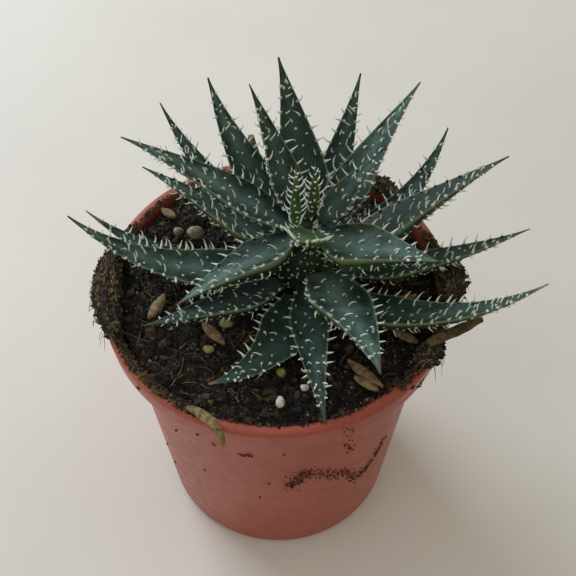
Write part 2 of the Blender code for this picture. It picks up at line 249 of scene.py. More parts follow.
# clumps of roots and soil lying over the rim: name, start and end angle, reach in and out, height
CLUMPS = (
    ("clump_left", 166, 202, 26.6, 31.4, 2.0),
    ("clump_right", -9, 10, 27.4, 32.4, 1.3),
    ("clump_front_right", -37, -26, 27.0, 31.2, 1.7),
    ("clump_back", 42, 54, 26.8, 30.6, 2.2),
)
CLUMP_FLOOR = 55.3
LOOSE_GAP = 0.35
WOOD_CHIP = ((24.4, -14.6, 57.9), (27.0, -13.4, 58.1), (30.4, -11.4, 57.6), (33.6, -9.6, 57.7))
DRY_LEAF = (
    (-14.4, -25.1, 55.9),
    (-12.8, -25.9, 56.1),
    (-11.2, -27.2, 56.1),
    (-9.8, -28.7, 55.9),
    (-9.0, -30.1, 55.0),
    (-8.5, -31.0, 53.7),
)
# the pot's outer wall as (height, radius)
WALL = ((1.6, 21.5), (49.6, 26.7), (50.4, 29.5), (54.3, 30.0))
# dried soil on the rim: start and end angle, how many crumbs, and how far out they lie
RIM_DIRT = (
    (150, 247, 1700, 29.5),
    (-48, 22, 1100, 29.5),
    (247, 312, 140, 28.4),
    (22, 150, 500, 28.9),
)
# dried soil on the wall: trails of (angle, height), with their width and the number of crumbs
DIRT_TRAILS = (
    (((-86, 28.4), (-82, 30.8), (-80, 33.8), (-71, 31.2), (-61, 27.3)), 2.4, 620),
    (((-61, 27.3), (-52, 21.0), (-45, 24.0), (-39, 29.7)), 1.9, 330),
    (((-69, 53.8), (-63, 41.9), (-61, 36.4)), 1.3, 110),
    (((-105, 40.6), (-103, 40.4), (-100, 41.3)), 0.8, 60),
    (((-39, 52.5), (-36, 47.0), (-33, 40.0)), 1.6, 190),
)
# single specks: angle, height and size
DIRT_SPECKS = (
    (-94, 29.5, 0.5),
    (-88, 42.0, 0.45),
    (-134, 37.6, 0.6),
    (-122, 42.4, 0.5),
    (-115, 41.5, 0.5),
    (-123, 27.4, 0.45),
    (-98, 23.1, 0.5),
    (-139, 53.0, 0.8),
    (-152, 21.0, 0.6),
    (-150, 15.1, 0.5),
    (-44, 54.3, 0.8),
)
DRY_STUB = ((-1.6, 20.0, 54.5), (-2.6, 21.2, 58.3), (-3.6, 22.6, 62.5), (-4.4, 24.0, 66.8))


class Shape:
    """Points, faces and per-point values of one piece while it is being made."""

    def __init__(self):
        self.points = []
        self.faces = []
        self.kinds = []
        self.values = []

    def add_point(self, point, value=(0.0, 0.0, 0.0, 0.0)):
        self.points.append(tuple(point))
        self.values.append(value)
        return len(self.points) - 1

    def add_face(self, corners, kind=0):
        self.faces.append(tuple(corners))
        self.kinds.append(kind)

    def add_strip(self, lower, upper, kind=0):
        """Joins two closed rings of the same number of points with quads."""
        for i in range(len(lower)):
            j = (i + 1) % len(lower)
            self.add_face((lower[i], lower[j], upper[j], upper[i]), kind)


def between(table, at):
    """The value at this place of a table of (place, value), on a straight line between its rows."""
    for (x0, y0), (x1, y1) in zip(table, table[1:]):
        if at <= x1:
            return y0 + (y1 - y0) * max(0.0, at - x0) / (x1 - x0)
    return table[-1][1]


def eased(table, at, reach):
    """As between, with its corners rounded over this reach."""
    places = [min(1.0, max(0.0, at + reach * step)) for step in (-1, -0.5, 0, 0.5, 1)]
    return sum(between(table, place) for place in places) / len(places)


def linear(code):
    """An sRGB hex colour as linear RGBA."""
    parts = [int(code[i : i + 2], 16) / 255 for i in (1, 3, 5)]
    return (*((c / 12.92 if c <= 0.04045 else ((c + 0.055) / 1.055) ** 2.4) for c in parts), 1.0)


def add(tree, kind, inputs=None, **settings):
    """A shader node of this kind with its settings, and its inputs set or linked."""
    node = tree.nodes.new("ShaderNode" + kind)
    for key, value in settings.items():
        setattr(node, key, value)
    for socket, value in (inputs or {}).items():
        if isinstance(value, bpy.types.NodeSocket):
            tree.links.new(value, node.inputs[socket])
        else:
            node.inputs[socket].default_value = value
    return node


def new_material(name):
    material = bpy.data.materials.new(name)
    material.use_nodes = True
    return material, material.node_tree, material.node_tree.nodes["Principled BSDF"]


def mix(tree, share, low, high):
    """Colour socket of a mix of two colours, each a socket or a hex code."""
    low, high = (linear(c) if isinstance(c, str) else c for c in (low, high))
    node = add(tree, "Mix", {0: share, 6: low, 7: high}, data_type="RGBA")
    return node.outputs[2]


def spread(tree, source, low, high, out_low=0.0, out_high=1.0):
    """A number taken from one range to another, and held inside it."""
    inputs = {"Value": source, "From Min": low, "From Max": high, "To Min": out_low, "To Max": out_high}
    return add(tree, "MapRange", inputs).outputs["Result"]


def grain(tree, size, detail=3.0, roughness=0.6):
    """Noise whose blobs are about this many millimetres across, from 0 to 1."""
    place = add(tree, "TexCoord").outputs["Object"]
    inputs = {"Vector": place, "Scale": 1.0 / (size * MM), "Detail": detail, "Roughness": roughness}
    return add(tree, "TexNoise", inputs).outputs["Fac"]


def roughen(tree, shader, height, depth):
    """Bump from a height socket from 0 to 1, this many millimetres deep."""
    bump = add(tree, "Bump", {"Height": height, "Distance": depth * MM, "Strength": 1.0})
    tree.links.new(bump.outputs["Normal"], shader.inputs["Normal"])


def add_piece(name, shape, materials, replaced=(), flat=False):
    """A named object from a Shape in millimetres, riding on the part."""
    mesh = bpy.data.meshes.new(name)
    points = np.array(shape.points, float) * MM
    mesh.from_pydata(points.tolist(), [], shape.faces)
    mesh.polygons.foreach_set("material_index", shape.kinds)
    mesh.polygons.foreach_set("use_smooth", [not flat] * len(shape.faces))
    values = mesh.attributes.new("place", "FLOAT_COLOR", "POINT")
    values.data.foreach_set("color", np.array(shape.values, np.float32).ravel())
    for material in materials:
        mesh.materials.append(material)
    obj = bpy.data.objects.new(name, mesh)
    bpy.context.scene.collection.objects.link(obj)
    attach(obj, BODY)
    if replaced:
        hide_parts(*replaced)
    return obj


def skin_material(name, face, bloom_and_sheen_colour, back, deep):
    """Leaf skin: pale bluish wax above, laid on as painted sheen too, darker below, pale along the margin, brown where
    it is dry.

    The point values are the leaf's share of pale wax and painted sheen, the side (0 in the middle above, 0.5 at the
    margin,
    1 in the middle below), how dry it is, and the flush, which stands for the tip's warmth near the tip.
    """
    material, tree, shader = new_material(name)
    values = add(tree, "Attribute", attribute_name="place")
    bloom_and_sheen_share, side, dry = add(tree, "SeparateColor", {0: values.outputs["Color"]}).outputs
    fine = grain(tree, 0.5, 4.0, 0.7)
    patches = spread(tree, grain(tree, 4.0, 4.0), 0.40, 0.72)
    # painted sheen, partly real pale wax: the wax colour is laid in cloudy patches over the middle of the upper face,
    # which faces the light from above
    channel = spread(tree, side, 0.0, 0.34, 0.5, 0.0)
    clouds = add(tree, "Math", {0: channel, 1: spread(tree, patches, 0.0, 1.0, 0.0, 0.55)}, use_clamp=True)
    bloom_and_sheen_mask = add(tree, "Math", {0: clouds.outputs[0], 1: bloom_and_sheen_share}, operation="MULTIPLY")
    top = mix(tree, bloom_and_sheen_mask.outputs[0], face, bloom_and_sheen_colour)
    below = mix(tree, patches, deep, back)
    both = mix(tree, spread(tree, side, 0.49, 0.54), top, below)
    flush = add(tree, "Math", {0: values.outputs["Alpha"], 1: side}, operation="MULTIPLY")
    green = mix(tree, spread(tree, flush.outputs[0], 0.2, 0.9, 0.0, 0.85), both, "#56662A")
    edge = add(tree, "Math", {0: side, 1: 0.5}, operation="PINGPONG")
    pale = mix(tree, spread(tree, edge.outputs[0], 0.455, 0.5, 0.0, 0.55), green, "#93A884")
    # fine specks in the pale wax colour, which is partly painted sheen
    flecks = mix(tree, spread(tree, fine, 0.5, 0.8, 0.0, 0.22), pale, bloom_and_sheen_colour)
    brown = mix(tree, spread(tree, grain(tree, 1.2), 0.4, 0.6), "#261A14", "#57402E")
    tip = mix(tree, values.outputs["Alpha"], brown, "#92705A")
    colour = mix(tree, dry, flecks, tip)
    tree.links.new(colour, shader.inputs["Base Color"])
    tree.links.new(spread(tree, fine, 0.3, 0.7, 0.42, 0.6), shader.inputs["Roughness"])
    shader.inputs["Specular IOR Level"].default_value = 0.25
    shader.inputs["Subsurface Weight"].default_value = 0.04
    shader.inputs["Subsurface Radius"].default_value = (0.6, 1.0, 0.4)
    shader.inputs["Subsurface Scale"].default_value = 1.0 * MM
    roughen(tree, shader, grain(tree, 0.35, 3.0), 0.05)
    return material


def spine_material(name, root, tip):
    """Horny white spine, a little greener at its foot; the place's x runs from foot to point."""
    material, tree, shader = new_material(name)
    share = add(tree, "SeparateColor", {0: add(tree, "Attribute", attribute_name="place").outputs["Color"]})
    white = mix(tree, spread(tree, share.outputs[0], 0.05, 0.4), root, tip)
    colour = mix(tree, spread(tree, grain(tree, 0.6), 0.5, 0.8, 0.0, 0.35), white, root)
    tree.links.new(colour, shader.inputs["Base Color"])
    shader.inputs["Roughness"].default_value = 0.42
    shader.inputs["Subsurface Weight"].default_value = 0.25
    shader.inputs["Subsurface Radius"].default_value = (1.0, 1.0, 0.8)
    shader.inputs["Subsurface Scale"].default_value = 0.4 * MM
    return material


def plastic_material():
    """Satin terracotta-coloured plastic with faint flow marks, dull patches and dust."""
    material, tree, shader = new_material("pot_plastic")
    base = mix(tree, spread(tree, grain(tree, 14.0, 4.0), 0.35, 0.65), "#96422F", "#A64D39")
    dusty = mix(tree, spread(tree, grain(tree, 1.1, 6.0, 0.75), 0.52, 0.8, 0.0, 0.3), base, "#BF8F7C")
    stain = spread(tree, grain(tree, 7.0, 7.0, 0.7), 0.58, 0.72, 0.0, 0.45)
    colour = mix(tree, stain, dusty, "#6E3526")
    tree.links.new(colour, shader.inputs["Base Color"])
    tree.links.new(spread(tree, grain(tree, 2.2, 5.0), 0.35, 0.7, 0.34, 0.5), shader.inputs["Roughness"])
    roughen(tree, shader, grain(tree, 0.6, 4.0, 0.7), 0.02)
    return material


def rough_material(name, dark, light, size, depth, roughness=0.92):
    """A dry, rough surface whose colour varies in patches of this many millimetres."""
    material, tree, shader = new_material(name)
    colour = mix(tree, spread(tree, grain(tree, size, 4.0, 0.7), 0.36, 0.66), dark, light)
    tree.links.new(colour, shader.inputs["Base Color"])
    shader.inputs["Roughness"].default_value = roughness
    roughen(tree, shader, grain(tree, size * 0.4, 4.0, 0.7), depth)
    return material


def turned(shape, outline, sides, x=0.0, y=0.0, kind=0):
    """Adds an outline turned round the vertical, with a point where it meets the axis; returns its rings."""
    rings = []
    for radius, height in outline:
        if radius == 0.0:
            rings.append([shape.add_point((x, y, height))])
            continue
        ring = []
        for i in range(sides):
            angle = 2 * math.pi * i / sides
            ring.append(shape.add_point((x + radius * math.cos(angle), y + radius * math.sin(angle), height)))
        rings.append(ring)
    for lower, upper in zip(rings, rings[1:]):
        if len(lower) == 1:
            for i in range(sides):
                shape.add_face((lower[0], upper[(i + 1) % sides], upper[i]), kind)
        elif len(upper) == 1:
            for i in range(sides):
                shape.add_face((lower[i], lower[(i + 1) % sides], upper[0]), kind)
        else:
            shape.add_strip(lower, upper, kind)
    return rings


def leaf_frames(leaf, places):
    """For each place along the leaf (0 to 1): the centre, and the ways along, across and up."""
    _, bearing, foot_height, heading, rise, bend, sweep, length, _, roll = leaf
    foot = between(FOOT_RADII, foot_height)
    at = Vector((
        STEM_X + foot * math.cos(math.radians(bearing)),
        STEM_Y + foot * math.sin(math.radians(bearing)),
        foot_height,
    ))
    steps = 60
    centres, ways = [at.copy()], []
    for i in range(steps + 1):
        place = i / steps
        climb = math.radians(rise + bend * place)
        turn = math.radians(heading + sweep * place)
        along = Vector((
            math.cos(climb) * math.cos(turn),
            math.cos(climb) * math.sin(turn),
            math.sin(climb),
        ))
        across = Vector((math.sin(turn), -math.cos(turn), 0.0))
        across.rotate(Matrix.Rotation(math.radians(-roll), 3, along))
        ways.append((along, across, across.cross(along)))
        centres.append(centres[-1] + along * (length / steps))
    found = []
    for place in places:
        spot = min(1.0, max(0.0, place)) * steps
        low = min(steps - 1, int(spot))
        centre = centres[low].lerp(centres[low + 1], spot - low)
        found.append((centre, *(a.lerp(b, spot - low).normalized() for a, b in zip(ways[low], ways[low + 1]))))
    return found


def leaf_surface(leaf, place, frame, share, below):
    """The point on a leaf's face, share of the way from its middle to its edge, and the way out of it."""
    centre, _, across, up = frame
    width = leaf[8] * eased(LEAF_HALF_WIDTHS, place, 0.04)
    half, deep = width / 2, width * THICK_LEAVES.get(leaf[0], LEAF_THICKNESS)

    def height(s):
        s = min(0.9999, abs(s))
        if below:
            return -deep * (1 - s**2.5) ** 0.68
        return -width * 1.3 * LEAF_CHANNEL * (1 - s * s) * (1 - place * place)

    slope = (height(share + 0.02) - height(share - 0.02)) / (0.04 * half)
    sign = -1 if below else 1
    normal = (up - across * slope).normalized() * sign
    return centre + across * (half * share) + up * height(share), normal


def add_leaf_body(shape, leaf):
    """The fleshy body: a closed skin from foot to tip, with small swellings."""
    name, width = leaf[0], leaf[8]
    dry_from = DRY_TIPS.get(name, DRY_FROM)
    places = [(i / LEAF_STATIONS) ** 0.95 for i in range(LEAF_STATIONS + 1)]
    rings = []
    for place, frame in zip(places, leaf_frames(leaf, places)):
        ring = []
        dry = min(1.0, max(0.0, (place - dry_from) / 0.035))
        flush = FLUSHES.get(name, FLUSH_TRACE) * max(0.0, 1.0 - abs(place - 0.35) / 0.45)
        tint = WARM_TIPS.get(name, 0.0) if place > 0.82 else flush
        for i in range(LEAF_SIDES):
            share = math.cos(2 * math.pi * i / LEAF_SIDES)
            below = i > LEAF_SIDES // 2
            point, normal = leaf_surface(leaf, place, frame, share, below)
            swell = 0.10 * noise.noise(point * 0.45) + 0.05 * noise.noise(point * 1.3)
            point = point + normal * swell * (1 - place) * min(1.0, width / 7)
            side = 1 - 0.5 * abs(share) if below else 0.5 * abs(share)
            # the first value is the leaf's share of pale wax and painted sheen
            ring.append(shape.add_point(point, (BLOOM_AND_SHEEN_BY_LEAF.get(name, BLOOM_AND_SHEEN), side, dry, tint)))
        rings.append(ring)
    for lower, upper in zip(rings, rings[1:]):
        shape.add_strip(lower, upper)
    shape.add_face(tuple(reversed(rings[0])))
    shape.add_face(tuple(rings[-1]))


def add_spike(shape, root, out, lean, length, radius, curl, kind=1, sides=5):
    """A slender spine that leaves along out and hooks over towards lean by this angle."""
    steps = 6
    path = [Vector(root) - out * 0.12]
    for i in range(1, steps + 1):
        turn = math.radians(curl) * (i / steps) ** 1.3
        way = (out * math.cos(turn) + lean * math.sin(turn)).normalized()
        path.append(path[-1] + way * (length / steps))
    rings = []
    for i, centre in enumerate(path):
        share = i / steps
        way = (path[min(i + 1, steps)] - path[max(i - 1, 0)]).normalized()
        side = way.orthogonal().normalized() if way.cross(lean).length < 1e-3 else way.cross(lean).normalized()
        other = side.cross(way)
        thick = radius * between(SPIKE_TAPER, share)
        ring = []
        for j in range(sides):
            angle = 2 * math.pi * j / sides
            offset = side * (math.cos(angle) * thick) + other * (math.sin(angle) * thick)
            ring.append(shape.add_point(centre + offset, (share, 0.0, 0.0, 0.0)))
        rings.append(ring)
    for lower, upper in zip(rings, rings[1:]):
        shape.add_strip(lower, upper, kind)
    shape.add_face(tuple(rings[-1]), kind)


def add_bead(shape, root, out, radius, height, kind=1, sides=7):
    """A low round wart on the skin."""
    side = out.orthogonal().normalized()
    other = out.cross(side)
    rings = []
    for share, wide in ((-0.4, 1.0), (0.25, 0.94), (0.7, 0.66), (0.95, 0.28)):
        ring = []
        for j in range(sides):
            angle = 2 * math.pi * j / sides
            offset = side * (math.cos(angle) * radius * wide) + other * (math.sin(angle) * radius * wide)
            value = (0.12 + 0.1 * share, 0.0, 0.0, 0.0)
            ring.append(shape.add_point(root + offset + out * (height * share), value))
        rings.append(ring)
    for lower, upper in zip(rings, rings[1:]):
        shape.add_strip(lower, upper, kind)
    shape.add_face(tuple(rings[-1]), kind)


def add_teeth(shape, leaf, rng, pitch, length):
    """Curved white teeth along both edges, closest together near the foot."""
    count = max(4, int(leaf[7] * 0.88 / pitch))
    for side in (-1, 1):
        for i in range(count):
            part = max(0.0, i + rng.uniform(-0.22, 0.22) + (side + 1) / 4) / count
            place = 0.05 + 0.88 * part**1.2
            frame = leaf_frames(leaf, [place])[0]
            _, along, across, up = frame
            root, _ = leaf_surface(leaf, place, frame, 0.97 * side, False)
            size = length * (0.6 + 0.4 * math.sin(math.pi * min(1.0, place * 1.15))) * rng.uniform(0.75, 1.2)
            size *= 1.0 if place < 0.8 else 0.62
            out = (across * side + up * rng.uniform(0.2, 0.8) + along * rng.uniform(-0.1, 0.4)).normalized()
            lean = (along * rng.uniform(0.1, 1.0) + up * rng.uniform(0.3, 1.0)).normalized()
            radius = rng.uniform(0.15, 0.20) * min(1.0, 0.6 + leaf[8] / 18)
            add_spike(shape, root, out, lean, size, radius, rng.uniform(40, 115))


def add_face_spines(shape, leaf, rng, below, rows, pitch, bristly, length):
    """Rows of warts along a face, some of them with a bent spine."""
    count = int(leaf[7] * 0.84 / pitch)
    for row in rows:
        for i in range(count):
            place = 0.10 + 0.82 * (i + rng.uniform(-0.3, 0.3) + 0.5 * (rows.index(row) % 2)) / count
            half = leaf[8] / 2 * eased(LEAF_HALF_WIDTHS, place, 0.04)
            if place > 0.93 or (abs(row) > 0.3 and half < 0.9):
                continue
            share = max(-0.86, min(0.86, row + rng.uniform(-0.35, 0.35) / max(0.8, half)))
            frame = leaf_frames(leaf, [place])[0]
            _, along, across, up = frame
            root, out = leaf_surface(leaf, place, frame, share, below)
            if rng.random() < bristly:
                lean = (along * rng.uniform(0.2, 1.0) + across * rng.uniform(-0.8, 0.8)).normalized()
                start = (out + along * rng.uniform(0.0, 0.5)).normalized()
                size = length * rng.uniform(0.6, 1.15) * (1.0 if place < 0.8 else 0.6)
                add_spike(shape, root, start, lean, size, rng.uniform(0.12, 0.17), rng.uniform(50, 130))
            else:
                add_bead(shape, root, out, rng.uniform(0.19, 0.3), rng.uniform(0.12, 0.2))


def add_leaves(materials):
    """Every leaf of the rosette, in place of its solid."""
    for number, leaf in enumerate(LEAVES):
        name = leaf[0]
        rng = random.Random(100 + number)
        shape = Shape()
        add_leaf_body(shape, leaf)
        if name in YOUNG_LEAVES:
            add_teeth(shape, leaf, rng, 0.75 if name == "leaf_24" else 1.4, 1.8)
            add_face_spines(shape, leaf, rng, False, (-0.4, 0.4), 2.2, 0.5, 1.3)
            add_face_spines(shape, leaf, rng, True, (-0.6, 0.0, 0.6), 1.4, 0.5, 1.2)
        else:
            add_teeth(shape, leaf, rng, TOOTH_PITCH, TOOTH_LENGTH)
            add_face_spines(shape, leaf, rng, False, (-0.62, -0.2, 0.2, 0.62), 2.9, 0.65, 1.8)
            add_face_spines(shape, leaf, rng, True, (-0.86, -0.6, -0.3, 0.0, 0.3, 0.6, 0.86), 1.7, 0.25, 1.4)
        skin = materials["young_skin"] if name in YOUNG_LEAVES else materials["skin"]
        add_piece(name + "_skin", shape, [skin, materials["spine"]], [name])


def add_stem(materials):
    """The stem, wrapped in dark leaf bases with warts and short spines."""
    shape = Shape()
    rng = random.Random(44)
    low, high = STEM_OUTLINE[0][1], STEM_OUTLINE[-1][1]
    widths = [(height, radius) for radius, height in STEM_OUTLINE]
    rows = []
    for i in range(STEM_ROWS + 1):
        height = low + (high - low) * i / STEM_ROWS
        row = []
        for j in range(STEM_SIDES):
            angle = 2 * math.pi * j / STEM_SIDES
            radius = between(widths, height) * (1 - 0.05 * abs(math.sin(1.5 * angle + 0.5 * height)))
            point = (STEM_X + radius * math.cos(angle), STEM_Y + radius * math.sin(angle), height)
            # the first value is the stem's small share of pale wax and painted sheen
            row.append(shape.add_point(point, (0.1, 0.8, 0.0, 0.25)))
        rows.append(row)
    for lower, upper in zip(rows, rows[1:]):
        shape.add_strip(lower, upper)
    shape.add_face(tuple(reversed(rows[0])))
    shape.add_face(tuple(rows[-1]))
    for _ in range(STEM_WARTS):
        angle, height = rng.uniform(0, 2 * math.pi), rng.uniform(low + 2.0, high - 0.6)
        out = Vector((math.cos(angle), math.sin(angle), 0.25)).normalized()
        root = Vector((STEM_X, STEM_Y, height)) + Vector((out.x, out.y, 0.0)) * between(widths, height) * 0.99
        if rng.random() < 0.45:
            add_spike(shape, root, out, UP, rng.uniform(0.9, 1.7), rng.uniform(0.11, 0.16), rng.uniform(20, 90))
        else:
            add_bead(shape, root, out, rng.uniform(0.18, 0.28), rng.uniform(0.12, 0.2))
    add_piece("stem_flesh", shape, [materials["skin"], materials["spine"]], ["stem"])


def rounded(outline, radius, steps=4):
    """The outline with each corner eased by a short curve."""
    points = [Vector(p) for p in outline]
    eased_points = [points[0]]
    for before, corner, after in zip(points, points[1:], points[2:]):
        back = before - corner
        ahead = after - corner
        cut = min(radius, back.length * 0.45, ahead.length * 0.45)
        start = corner + back.normalized() * cut
        end = corner + ahead.normalized() * cut
        for i in range(steps + 1):
            t = i / steps
            eased_points.append(start.lerp(corner, t).lerp(corner.lerp(end, t), t))
    eased_points.append(points[-1])
    return [tuple(p) for p in eased_points]


def add_pot(materials):
    """The pot, with rounded corners and its drain holes."""
    shape = Shape()
    turned(shape, rounded(POT_OUTLINE, 0.25), POT_SIDES)
    pot = add_piece("pot_shell", shape, [materials["plastic"]], ["pot"])
    for i in range(DRAIN_HOLES):
        angle = math.radians(18 + 360 * i / DRAIN_HOLES)
        hole = Shape()
        centre = (DRAIN_CIRCLE * math.cos(angle), DRAIN_CIRCLE * math.sin(angle))
        rings = turned(hole, ((DRAIN_RADIUS, -0.6), (DRAIN_RADIUS, 1.9)), 32, *centre)
        hole.add_face(tuple(reversed(rings[0])))
        hole.add_face(tuple(rings[1]))
        mesh = bpy.data.meshes.new("drill")
        mesh.from_pydata([Vector(p) * MM for p in hole.points], [], hole.faces)
        drill = bpy.data.objects.new("drill", mesh)
        bpy.context.scene.collection.objects.link(drill)
        cut = pot.modifiers.new("drain", "BOOLEAN")
        cut.operation = "DIFFERENCE"
        cut.solver = "EXACT"
        cut.object = drill
        bpy.context.view_layer.objects.active = pot
        bpy.ops.object.modifier_apply(modifier=cut.name)
        bpy.data.objects.remove(drill, do_unlink=True)


def soil_height(x, y):
    """Height of the soil: highest behind on the left, with a dip round the stem and lumps all over."""
    slope = 0.025 * y - 0.012 * x
    reach = math.hypot(x - STEM_X, y - STEM_Y) / SOIL_DIP_REACH
    lumps = (
        0.30 * math.sin(0.62 * x + 0.35 * y + 1.0)
        + 0.26 * math.sin(0.41 * x - 0.77 * y + 2.0)
        + 0.14 * math.sin(1.10 * x + 0.90 * y)
    )
    dip = math.exp(-reach * reach)
    return SOIL_LEVEL + slope + lumps * (1 - dip) - SOIL_DIP * dip


def soil_crumbled(x, y):
    """The soil's height with its crumbs, down to about half a millimetre."""
    lump = noise.voronoi(Vector((x * 0.42, y * 0.42, 3.0)))[0][0]
    crumb = noise.voronoi(Vector((x * 1.1, y * 1.1, 7.0)))[0][0]
    fine = noise.noise(Vector((x * 2.6, y * 2.6, 1.0)))
    return soil_height(x, y) + 0.55 - 1.1 * lump - 0.55 * crumb + 0.22 * fine


def disc_place(u, v):
    """A place of the square from -1 to 1 taken to the unit disc with little stretching."""
    if u == 0 and v == 0:
        return 0.0, 0.0
    if abs(u) > abs(v):
        radius, angle = u, math.pi / 4 * v / u
    else:
        radius, angle = v, math.pi / 2 - math.pi / 4 * u / v
    return radius * math.cos(angle), radius * math.sin(angle)


def add_soil(materials):
    """The soil's crumbly top on the plain plug that fills the pot."""
    shape = Shape()
    rows = []
    for i in range(SOIL_CELLS + 1):
        row = []
        for j in range(SOIL_CELLS + 1):
            x, y = disc_place(2 * j / SOIL_CELLS - 1, 2 * i / SOIL_CELLS - 1)
            x, y = x * SOIL_RIM_RADIUS, y * SOIL_RIM_RADIUS
            row.append(shape.add_point((x, y, soil_crumbled(x, y))))
        rows.append(row)
    for low, high in zip(rows, rows[1:]):
        for j in range(SOIL_CELLS):
            shape.add_face((low[j], low[j + 1], high[j + 1], high[j]))
    turned(shape, (*SOIL_PLUG, (SOIL_RIM_RADIUS, SOIL_LEVEL - 0.8)), 96)
    add_piece("soil_plug", shape, [materials["peat"]], ["soil"])


def add_thread(shape, path, radius, kind=0, sides=5):
    """A thin root or fibre along a path, pointed at both ends."""
    rings = []
    for i, centre in enumerate(path):
        way = (path[min(i + 1, len(path) - 1)] - path[max(i - 1, 0)]).normalized()
        side = way.orthogonal().normalized()
        other = side.cross(way)
        thick = radius * (0.25 if i in (0, len(path) - 1) else 1.0)
        ring = []
        for j in range(sides):
            angle = 2 * math.pi * j / sides
            ring.append(shape.add_point(centre + side * (math.cos(angle) * thick) + other * (math.sin(angle) * thick)))
        rings.append(ring)
    for lower, upper in zip(rings, rings[1:]):
        shape.add_strip(lower, upper, kind)
    shape.add_face(tuple(reversed(rings[0])), kind)
    shape.add_face(tuple(rings[-1]), kind)


def soil_spot(rng, reach):
    """A random place on the soil within this radius, as x and y."""
    while True:
        x, y = rng.uniform(-reach, reach), rng.uniform(-reach, reach)
        if math.hypot(x, y) < reach:
            return x, y


def add_shard(shape, centre, length, width, height, rng, kind=0):
    """A loose splinter with flat sides, lying roughly level."""
    turn, tilt = rng.uniform(0, 2 * math.pi), rng.uniform(-0.5, 0.5)
    along = Vector((math.cos(turn) * math.cos(tilt), math.sin(turn) * math.cos(tilt), math.sin(tilt)))
    across = along.cross(UP).normalized()
    up = across.cross(along)
    first = len(shape.points)
    for a, b, c in SHARD_CORNERS:
        rough = rng.uniform(0.35, 0.62)
        shape.add_point(
            Vector(centre) + (along * (a * length) + across * (b * width) + up * (c * height)) * rough
        )
    for i in range(6):
        j = (i + 1) % 6
        shape.add_face((first + i, first + j, first + 6), kind)
        shape.add_face((first + j, first + i, first + 7), kind)


def add_crumbs(materials):
    """Splinters of peat, bark and moss and mineral grains, loose on the soil."""
    rng = random.Random(5)
    for name, material, count, small, large in LITTER:
        shape = Shape()
        for _ in range(count):
            x, y = soil_spot(rng, 26.9)
            length = small + (large - small) * rng.random() ** 2.0
            width = length * rng.uniform(0.3, 0.8)
            level = soil_crumbled(x, y) + rng.uniform(-0.05, 0.3)
            add_shard(shape, (x, y, level), length, width, width * rng.uniform(0.4, 0.9), rng)
        add_piece(name, shape, [materials[material]], flat=True)


def add_fibres(materials):
    """Fine roots and fibres lying on the soil."""
    rng = random.Random(8)
    shape = Shape()
    for _ in range(FIBRE_COUNT):
        x, y = soil_spot(rng, 26.0)
        heading = rng.uniform(0, 2 * math.pi)
        length = rng.uniform(1.2, 6.0)
        path = []
        for i in range(7):
            path.append(Vector((x, y, max(soil_crumbled(x, y), soil_height(x, y)) + rng.uniform(0.05, 0.4))))
            x += math.cos(heading) * length / 6
            y += math.sin(heading) * length / 6
            heading += rng.uniform(-0.6, 0.6)
            if math.hypot(x, y) > 27.0:
                break
        if len(path) > 2:
            add_thread(shape, path, rng.uniform(0.035, 0.09), rng.choice((0, 0, 1)), 4)
    add_piece("root_fibres", shape, [materials["dark_fibre"], materials["fibre"]])


def strand_rings(shape, path, half_widths, half_thickness, sides, bulge):
    """A closed flattened strand along a path; bulge(share, angle) scales each of its points."""
    rings = []
    for i, centre in enumerate(path):
        way = (path[min(i + 1, len(path) - 1)] - path[max(i - 1, 0)]).normalized()
        across = way.cross(UP).normalized()
        up = across.cross(way)
        share = i / (len(path) - 1)
        half = eased(half_widths, share, 0.06)
        ring = []
        for j in range(sides):
            angle = 2 * math.pi * j / sides
            out = across * (half * math.cos(angle)) + up * (half_thickness * math.sin(angle))
            ring.append(shape.add_point(centre + out * bulge(share, angle)))
        rings.append(ring)
    for lower, upper in zip(rings, rings[1:]):
        shape.add_strip(lower, upper)
    shape.add_face(tuple(reversed(rings[0])))
    shape.add_face(tuple(rings[-1]))


def smooth_path(points, count):
    """This many places along a smooth curve through the points."""
    points = [Vector(p) for p in points]
    ends = [points[0] * 2 - points[1], *points, points[-1] * 2 - points[-2]]
    found = []
    for i in range(count):
        spot = i / (count - 1) * (len(points) - 1)
        k = min(len(points) - 2, int(spot))
        t = spot - k
        a, b, c, d = ends[k : k + 4]
        found.append(0.5 * (2 * b + (c - a) * t + (2 * a - 5 * b + 4 * c - d) * t**2 + (3 * b - a - 3 * c + d) * t**3))
    return found


def add_husks(materials):
    """Rice husks: boat-shaped, ribbed and pointed at both ends."""
    for name, (x0, y0), (x1, y1), width, thickness in HUSKS:
        steps = [i / 5 for i in range(6)]
        spots = [(x0 + (x1 - x0) * s, y0 + (y1 - y0) * s) for s in steps]
        level = max(soil_height(x, y) for x, y in spots) + LOOSE_GAP + 0.12 + thickness / 2
        path = [(x, y, level + 0.4 * (s - 0.5) ** 2) for (x, y), s in zip(spots, steps)]
        halves = [(s, width / 2 * f) for s, f in zip(steps, (0.22, 0.78, 1.0, 0.96, 0.7, 0.18))]
        shape = Shape()

        def ribs(share, angle):
            return 1.0 + 0.05 * math.cos(9 * angle)

        strand_rings(shape, smooth_path(path, 26), halves, thickness / 2, 36, ribs)
        add_piece(name + "_shell", shape, [materials["husk"]], [name])


def add_pebbles(materials):
    for number, (name, slot, (x, y), radii) in enumerate(PEBBLES):
        shape = Shape()
        level = soil_height(x, y) + LOOSE_GAP + 0.2 + radii[2]
        outline = [(0.98 * math.sin(math.pi * i / 12), -math.cos(math.pi * i / 12)) for i in range(13)]
        outline[0] = (0.0, -1.0)
        outline[-1] = (0.0, 1.0)
        turned(shape, outline, 24)
        moved = []
        for point in shape.points:
            p = Vector(point)
            rough = 0.92 + 0.22 * noise.noise(p * 1.1 + UP * (9 * number)) + 0.06 * noise.noise(p * 3.5)
            moved.append(tuple(c + q * r * rough for c, q, r in zip((x, y, level), p, radii)))
        shape.points = moved
        add_piece(name + "_grain", shape, [materials[slot]], [name])


